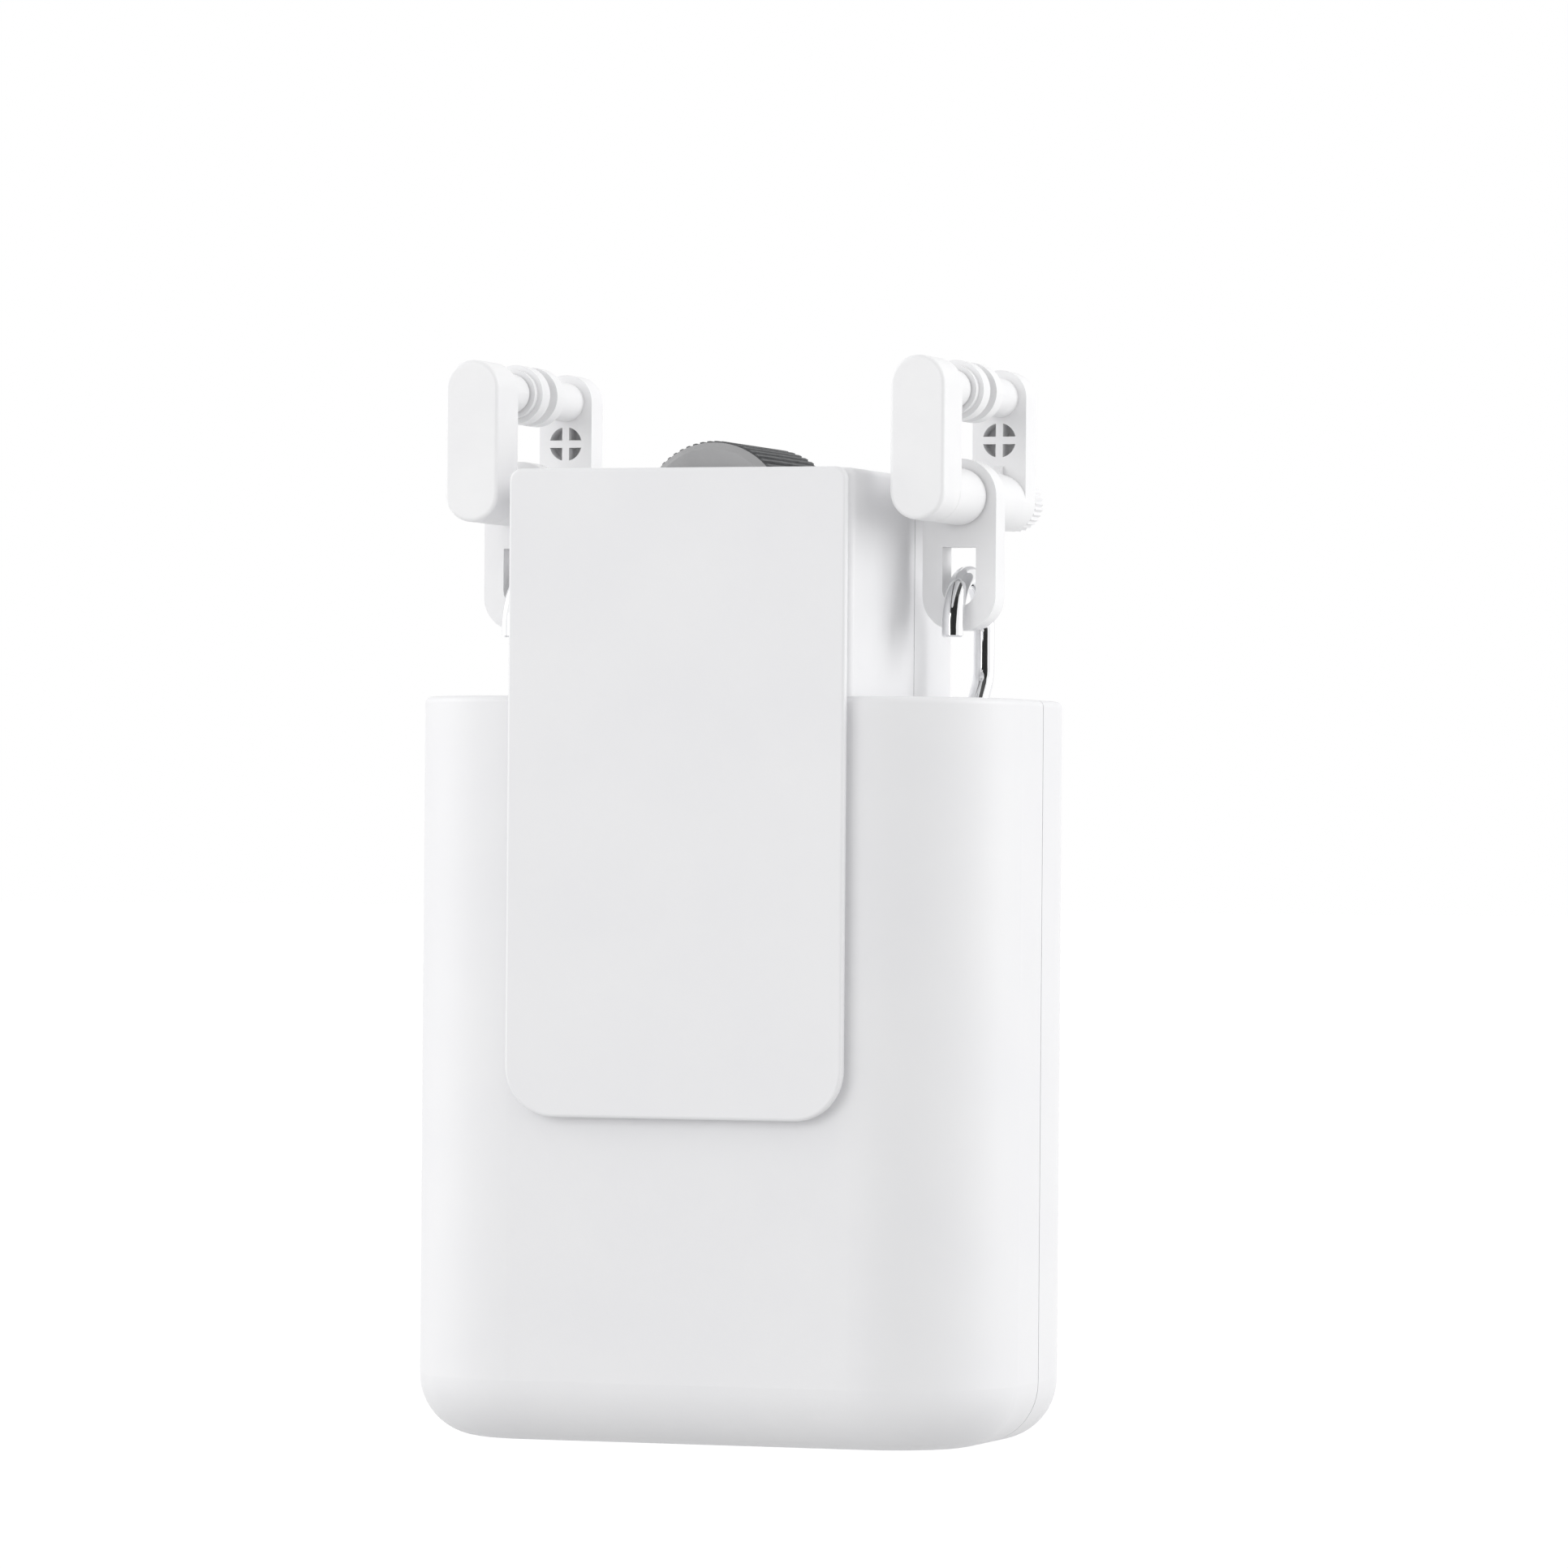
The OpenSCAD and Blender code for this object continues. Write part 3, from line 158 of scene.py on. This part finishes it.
# Looks of the material slots. The colour drifts between dark and light in blotches, the roughness changes
# with the grain. blotch and grain are noise scales, stretch scales the noise along each axis, depth is the
# height of the grain in millimetres, and names with a capital are the shader's own inputs.
LOOKS = {
    "shell_white": dict(dark=(0.80, 0.80, 0.815), light=(0.82, 0.82, 0.83), rough=(0.42, 0.52),
                        grain=4200, depth=0.012),
    "panel_grey": dict(dark=(0.80, 0.80, 0.815), light=(0.82, 0.82, 0.83), rough=(0.40, 0.50),
                       grain=5200, depth=0.01),
    "hanger_white": dict(dark=(0.85, 0.85, 0.86), light=(0.875, 0.875, 0.88), rough=(0.36, 0.48),
                         grain=3600, depth=0.012, blotch=160),
    "frame_grey": dict(dark=(0.10, 0.105, 0.115), light=(0.14, 0.145, 0.155), rough=(0.45, 0.6),
                       grain=3000, depth=0.03),
    "gear_cream": dict(dark=(0.68, 0.66, 0.58), light=(0.74, 0.73, 0.65), rough=(0.3, 0.42),
                       grain=2600, depth=0.01, blotch=220),
    "wheel_grey": dict(dark=(0.33, 0.33, 0.335), light=(0.37, 0.37, 0.375), rough=(0.42, 0.55),
                       grain=3800, depth=0.016, blotch=180),
    "tyre_rubber": dict(dark=(0.085, 0.088, 0.092), light=(0.125, 0.128, 0.132), rough=(0.62, 0.8),
                        grain=2600, depth=0.06, blotch=420),
    "hook_chrome": dict(dark=(0.86, 0.865, 0.875), light=(0.92, 0.925, 0.93), rough=(0.04, 0.09),
                        grain=5200, depth=0.003, blotch=700, stretch=(1, 1, 0.08), Metallic=1.0),
    "steel": dict(dark=(0.52, 0.525, 0.54), light=(0.62, 0.625, 0.64), rough=(0.22, 0.36),
                  grain=5000, depth=0.006, blotch=600, stretch=(1, 0.1, 1), Metallic=1.0),
    "motor_steel": dict(dark=(0.50, 0.505, 0.515), light=(0.58, 0.585, 0.59), rough=(0.26, 0.4),
                        grain=3200, depth=0.006, blotch=300, stretch=(1, 0.08, 1), Metallic=1.0),
    "brass": dict(dark=(0.62, 0.44, 0.17), light=(0.72, 0.55, 0.25), rough=(0.2, 0.32),
                  grain=4200, depth=0.006, blotch=500, stretch=(1, 0.1, 1), Metallic=1.0),
    "cell_blue": dict(dark=(0.035, 0.11, 0.26), light=(0.05, 0.15, 0.33), rough=(0.22, 0.34),
                      grain=1600, depth=0.01, blotch=120),
    "board_green": dict(dark=(0.01, 0.09, 0.045), light=(0.02, 0.17, 0.085), rough=(0.25, 0.4),
                        grain=1800, depth=0.02, blotch=900),
    "part_grey": dict(dark=(0.24, 0.24, 0.255), light=(0.34, 0.34, 0.355), rough=(0.28, 0.45),
                      grain=2400, depth=0.01, blotch=500),
    "switch_black": dict(dark=(0.025, 0.025, 0.028), light=(0.045, 0.045, 0.05), rough=(0.38, 0.5),
                         grain=3600, depth=0.01),
    "lens_clear": dict(dark=(0.80, 0.81, 0.83), light=(0.86, 0.87, 0.88), rough=(0.12, 0.2),
                       grain=3000, depth=0.004, blotch=300, Transmission_Weight=0.35, IOR=1.49),
    "lens_dark": dict(dark=(0.012, 0.012, 0.015), light=(0.022, 0.022, 0.026), rough=(0.05, 0.1),
                      grain=2000, depth=0.003, blotch=200, IOR=1.49),
}


def material(name, dark, light, rough, grain, depth, blotch=70, stretch=(1, 1, 1), **inputs):
    made = bpy.data.materials.new(name)
    made.use_nodes = True
    tree = made.node_tree
    shader = tree.nodes["Principled BSDF"]
    place = add(tree, "ShaderNodeTexCoord").outputs["Object"]
    mapping = add(tree, "ShaderNodeMapping", Scale=stretch)
    tree.links.new(place, mapping.inputs["Vector"])
    cloud = noise(tree, mapping, blotch, *CLOUD_NOISE)
    fine = noise(tree, mapping, grain, *GRAIN_NOISE)
    tree.links.new(ramp(tree, cloud, dark, light), shader.inputs["Base Color"])
    tree.links.new(map_range(tree, fine, NOISE_RANGE, rough), shader.inputs["Roughness"])
    bump = add(tree, "ShaderNodeBump", Strength=BUMP_STRENGTH, Distance=depth * MM)
    tree.links.new(fine, bump.inputs["Height"])
    tree.links.new(bump.outputs["Normal"], shader.inputs["Normal"])
    for key, value in inputs.items():
        shader.inputs[key.replace("_", " ")].default_value = value
    return made


def dress_nodes(materials):
    slots = {row["node"]: row["material_slot"] for row in frame["record"]["subparts"]}
    for name, node in frame["nodes"].items():
        for place in node.material_slots:
            place.link = "OBJECT"
            place.material = materials[slots[name]]


# Edges that turn by more than this stay crisp (degrees)
CRISP_EDGE = 40


# Mesh helpers

def piece(name, points, faces, body, slot, materials, crisp=CRISP_EDGE):
    mesh = bpy.data.meshes.new(name)
    mesh.from_pydata(points, [], faces)
    mesh.validate()
    mesh.shade_smooth()
    mesh.set_sharp_from_angle(angle=math.radians(crisp))
    mesh.materials.append(materials[slot])
    thing = bpy.data.objects.new(name, mesh)
    scene.collection.objects.link(thing)
    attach(thing, body)
    return thing


def skin(rows, columns, closed=False):
    """Faces between rows of points. Each row is a ring, and closed joins the last row to the first."""
    faces = []
    for i in range(rows if closed else rows - 1):
        j = (i + 1) % rows
        for k in range(columns):
            n = (k + 1) % columns
            faces.append((i * columns + k, i * columns + n, j * columns + n, j * columns + k))
    return faces


def tube(path, across, radius, facets, bevel):
    """Round bar along path. across gives one crosswise direction at each point; both ends are bevelled."""
    last = len(path) - 1
    tangents = [(path[min(i + 1, last)] - path[max(i - 1, 0)]).normalized() for i in range(last + 1)]
    rings = [(path[0], 0, radius - bevel), (path[0] + tangents[0] * bevel, 0, radius)]
    rings += [(path[i], i, radius) for i in range(1, last)]
    rings += [(path[last] - tangents[last] * bevel, last, radius), (path[last], last, radius - bevel)]
    points = []
    for middle, i, ring_radius in rings:
        out = (across[i] - tangents[i] * across[i].dot(tangents[i])).normalized()
        side = tangents[i].cross(out)
        for k in range(facets):
            turn = 2 * math.pi * k / facets
            points.append(middle + ring_radius * (math.cos(turn) * out + math.sin(turn) * side))
    faces = skin(len(rings), facets)
    faces.append(tuple(reversed(range(facets))))
    faces.append(tuple((len(rings) - 1) * facets + k for k in range(facets)))
    return points, faces


def arc(centre, radius, start, end, steps):
    """Points of an arc in the plane of Y and Z, angles in degrees from +Y towards +Z."""
    turns = [math.radians(start + (end - start) * i / steps) for i in range(steps + 1)]
    return [(centre[0] + radius * math.cos(t), centre[1] + radius * math.sin(t)) for t in turns]


# Hook wire: tip, arch through the plate slot, shank, offset bend and rod (millimetres and degrees)
WIRE_R = 1.28
WIRE_FACETS = 40
WIRE_BEVEL = 0.22
TIP_FRONT = 4.2
TIP_LOW = -23.4
ARCH_TOP = -15.9
ARCH_STEPS = 48
SHANK_BACK = 8.6
SHANK_LOW = -26.7
OFFSET_BEND = 4.0
OFFSET_ANGLE = 40.0
OFFSET_STEPS = 12
ROD_BACK = 3.0
ROD_END = -74.0


def hook_line():
    """Middle line of the hook in the plane of Y and Z, from the tip to the end of the rod."""
    arch_radius = (TIP_FRONT + SHANK_BACK) / 2
    arch_y = (SHANK_BACK - TIP_FRONT) / 2
    arch_z = ARCH_TOP - arch_radius
    line = [(-TIP_FRONT, TIP_LOW), (-TIP_FRONT, (TIP_LOW + arch_z) / 2)]
    line += arc((arch_y, arch_z), arch_radius, 180, 0, ARCH_STEPS)
    line += [(SHANK_BACK, (arch_z + SHANK_LOW) / 2)]
    line += arc((SHANK_BACK - OFFSET_BEND, SHANK_LOW), OFFSET_BEND, 0, -OFFSET_ANGLE, OFFSET_STEPS)
    slope = math.radians(OFFSET_ANGLE)
    slant = SHANK_BACK - ROD_BACK - 2 * OFFSET_BEND * (1 - math.cos(slope))
    slant_low = line[-1][1] - slant / math.tan(slope)
    rod_top = slant_low - OFFSET_BEND * math.sin(slope)
    line += arc((ROD_BACK + OFFSET_BEND, rod_top), OFFSET_BEND, 180 - OFFSET_ANGLE, 180, OFFSET_STEPS)
    line += [(ROD_BACK, ROD_END)]
    return line


def make_hooks(materials):
    for side in BOTH_SIDES:
        low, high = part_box(f"{side}_hook")
        x = (low.x + high.x) / 2
        path = [Vector((x, y * MM, z * MM)) for y, z in hook_line()]
        across = [Vector((1, 0, 0))] * len(path)
        points, faces = tube(path, across, WIRE_R * MM, WIRE_FACETS, WIRE_BEVEL * MM)
        hook = piece(f"{side}_hook_wire", points, faces, f"{side}_hook", "hook_chrome", materials)
        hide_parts(f"{side}_hook")


# Hook springs: one closed turn at each end and an even pitch between them (millimetres)
SPRING_R = 2.9
SPRING_WIRE_R = 0.4
SPRING_BEVEL = 0.1
SPRING_TOP = -46.1
SPRING_LOW = -69.9
OPEN_TURNS = 9
ALL_TURNS = OPEN_TURNS + 2
TURN_STEPS = 36
SPRING_FACETS = 10


def coil_height(turn):
    """Height of the wire's middle, so many turns up from the lower end."""
    low = SPRING_LOW + SPRING_WIRE_R
    high = SPRING_TOP - SPRING_WIRE_R
    closed = 2 * SPRING_WIRE_R
    if turn < 1:
        return low + closed * turn
    if turn > ALL_TURNS - 1:
        return high - closed * (ALL_TURNS - turn)
    return low + closed + (high - low - 2 * closed) * (turn - 1) / OPEN_TURNS


def make_springs(materials):
    for side in BOTH_SIDES:
        low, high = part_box(f"{side}_hook_spring")
        x = (low.x + high.x) / 2
        y = (low.y + high.y) / 2
        path, across = [], []
        for step in range(ALL_TURNS * TURN_STEPS + 1):
            turn = step / TURN_STEPS
            out = Vector((math.cos(2 * math.pi * turn), math.sin(2 * math.pi * turn), 0))
            path.append(Vector((x, y, coil_height(turn) * MM)) + out * SPRING_R * MM)
            across.append(out)
        points, faces = tube(path, across, SPRING_WIRE_R * MM, SPRING_FACETS, SPRING_BEVEL * MM)
        coil = piece(f"{side}_spring_coil", points, faces, "housing", "steel", materials)
        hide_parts(f"{side}_hook_spring")
        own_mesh(coil)


# Tyre with ribs across the tread (millimetres and degrees)
RIBS = 64
RIB_DEPTH = 0.35
RIB_CRISP_EDGE = 25
TYRE_WALL = 0.9
TYRE_BEVEL = 0.3

# Corners of one rib and its groove: share of the pitch, and 0 on the rib or 1 in the groove
RIB_WAVE = ((0.0, 0), (0.42, 0), (0.54, 1), (0.88, 1))


def make_tyre(materials):
    low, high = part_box("wheel_tyre")
    axle_z = (low.z + high.z) / 2
    outer = (high.z - low.z) / 2
    inner = outer - TYRE_WALL * MM
    depth = RIB_DEPTH * MM
    bevel = TYRE_BEVEL * MM
    section = [(low.y, inner, 0), (low.y, outer - bevel, depth), (low.y + bevel, outer, depth),
               (high.y - bevel, outer, depth), (high.y, outer - bevel, depth), (high.y, inner, 0)]
    points = []
    for rib in range(RIBS):
        for share, groove in RIB_WAVE:
            turn = 2 * math.pi * (rib + share) / RIBS
            for y, full, cut in section:
                radius = full - groove * cut
                points.append((radius * math.sin(turn), y, axle_z + radius * math.cos(turn)))
    faces = skin(RIBS * len(RIB_WAVE), len(section), closed=True)
    tyre = piece("tyre_tread", points, faces, "drive_wheel", "tyre_rubber", materials, RIB_CRISP_EDGE)
    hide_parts("wheel_tyre")


# Stage: white world, pale floor, dark cards and softboxes (metres, degrees and watts)
WHITE = (1, 1, 1, 1)
WORLD_LIGHT = 0.83
FLOOR_DROP = 0.025
FLOOR_HALF = 12
FLOOR_TONE = 0.64
CARD_AZIMUTH = 24
CARD_AWAY = 1.3
CARD_OUTLINE = ((-0.5, -0.7), (0.5, -0.7), (1.6, 2.2), (-1.6, 2.2))
CARD_TONE = 0.012
CARD_ROUGH = 0.9
CEILING_UP = 1.5
CEILING_OUTLINE = ((-1.2, 1.0), (1.2, 1.0), (1.2, -0.5), (-1.2, -0.5))
CEILING_TONE = 0.09

# Glow of the floor near the object and far away, and the distances between which it changes
FLOOR_GLOW = (0.36, 0.5)
FLOOR_FADE = (0.2, 1.0)


def grey(tone):
    return (tone, tone, tone, 1)


def ray_seen(tree):
    """1 for rays that show a surface to the camera, straight or by way of metal or glass."""
    rays = add(tree, "ShaderNodeLightPath")
    first = add(tree, "ShaderNodeMath", operation="MAXIMUM")
    tree.links.new(rays.outputs["Is Camera Ray"], first.inputs[0])
    tree.links.new(rays.outputs["Is Glossy Ray"], first.inputs[1])
    second = add(tree, "ShaderNodeMath", operation="MAXIMUM")
    tree.links.new(first.outputs[0], second.inputs[0])
    tree.links.new(rays.outputs["Is Transmission Ray"], second.inputs[1])
    return second.outputs[0]


def make_world():
    world = bpy.data.worlds.new("studio")
    scene.world = world
    world.use_nodes = True
    tree = world.node_tree
    tree.nodes.clear()
    light = add(tree, "ShaderNodeBackground", Color=WHITE, Strength=WORLD_LIGHT)
    white = add(tree, "ShaderNodeBackground", Color=WHITE, Strength=1.0)
    mix = add(tree, "ShaderNodeMixShader")
    out = add(tree, "ShaderNodeOutputWorld")
    tree.links.new(ray_seen(tree), mix.inputs[0])
    tree.links.new(light.outputs[0], mix.inputs[1])
    tree.links.new(white.outputs[0], mix.inputs[2])
    tree.links.new(mix.outputs[0], out.inputs["Surface"])


def stage_sheet(name, corners, made):
    """Flat sheet with four corners that belongs to the stage."""
    mesh = bpy.data.meshes.new(name)
    mesh.from_pydata(corners, [], [(0, 1, 2, 3)])
    mesh.materials.append(made)
    thing = bpy.data.objects.new(name, mesh)
    scene.collection.objects.link(thing)
    return thing


def floor_material():
    """Pale floor that takes shadows, with a glow that only rays on their way to the camera see."""
    made = bpy.data.materials.new("floor_pale")
    made.use_nodes = True
    tree = made.node_tree
    tree.nodes.clear()
    diffuse = add(tree, "ShaderNodeBsdfDiffuse", Color=grey(FLOOR_TONE))
    glow = add(tree, "ShaderNodeEmission", Color=WHITE)
    both = add(tree, "ShaderNodeAddShader")
    out = add(tree, "ShaderNodeOutputMaterial")
    place = add(tree, "ShaderNodeTexCoord")
    away = add(tree, "ShaderNodeVectorMath", operation="LENGTH")
    tree.links.new(place.outputs["Object"], away.inputs[0])
    fade = map_range(tree, away.outputs["Value"], FLOOR_FADE, FLOOR_GLOW, "SMOOTHSTEP")
    lift = add(tree, "ShaderNodeMath", operation="MULTIPLY")
    tree.links.new(ray_seen(tree), lift.inputs[0])
    tree.links.new(fade, lift.inputs[1])
    tree.links.new(lift.outputs[0], glow.inputs["Strength"])
    tree.links.new(diffuse.outputs[0], both.inputs[0])
    tree.links.new(glow.outputs[0], both.inputs[1])
    tree.links.new(both.outputs[0], out.inputs["Surface"])
    return made


def make_floor():
    z = cad_box[0].z - FLOOR_DROP
    corners = [(x * FLOOR_HALF, y * FLOOR_HALF, z) for x, y in ((-1, -1), (1, -1), (1, 1), (-1, 1))]
    stage_sheet("floor", corners, floor_material())


def dark_card(name, corners, tone):
    """Dark card round the stage that only reflections show."""
    made = bpy.data.materials.new(name)
    made.use_nodes = True
    shader = made.node_tree.nodes["Principled BSDF"]
    shader.inputs["Base Color"].default_value = grey(tone)
    shader.inputs["Roughness"].default_value = CARD_ROUGH
    card = stage_sheet(name, corners, made)
    for rays in ("camera", "diffuse", "transmission", "volume_scatter", "shadow"):
        setattr(card, "visible_" + rays, False)


def make_cards():
    turn = math.radians(CARD_AZIMUTH)
    away = Vector((math.sin(turn), -math.cos(turn), 0))
    side = Vector((math.cos(turn), math.sin(turn), 0))
    up = Vector((0, 0, 1))
    front = [box_centre + away * CARD_AWAY + side * x + up * z for x, z in CARD_OUTLINE]
    dark_card("front_card", front, CARD_TONE)
    top = [box_centre + up * CEILING_UP + side * x + away * y for x, y in CEILING_OUTLINE]
    dark_card("ceiling_card", top, CEILING_TONE)


def softbox(name, azimuth, height, distance, size, power):
    """Area lamp at azimuth degrees from the front, to the right, facing the object."""
    turn = math.radians(azimuth)
    place = box_centre + Vector((math.sin(turn) * distance, -math.cos(turn) * distance, height))
    data = bpy.data.lights.new(name, "AREA")
    data.shape = "RECTANGLE"
    data.size, data.size_y = size
    data.energy = power
    lamp = bpy.data.objects.new(name, data)
    lamp.location = place
    lamp.rotation_mode = "QUATERNION"
    lamp.rotation_quaternion = (box_centre - place).to_track_quat("-Z", "Y")
    scene.collection.objects.link(lamp)


def make_lights():
    softbox("left_softbox", azimuth=-86, height=0.25, distance=1.3, size=(0.9, 1.3), power=6.2)
    softbox("right_softbox", azimuth=116, height=0.25, distance=1.3, size=(0.9, 1.3), power=10.0)
    softbox("front_softbox", azimuth=-16, height=0.4, distance=1.6, size=(1.0, 0.8), power=5.6)


make_camera()
all_materials = {name: material(name, **look) for name, look in LOOKS.items()}
dress_nodes(all_materials)
make_hooks(all_materials)
make_springs(all_materials)
make_tyre(all_materials)
make_world()
make_floor()
make_cards()
make_lights()
scene.view_settings.view_transform = "Standard"
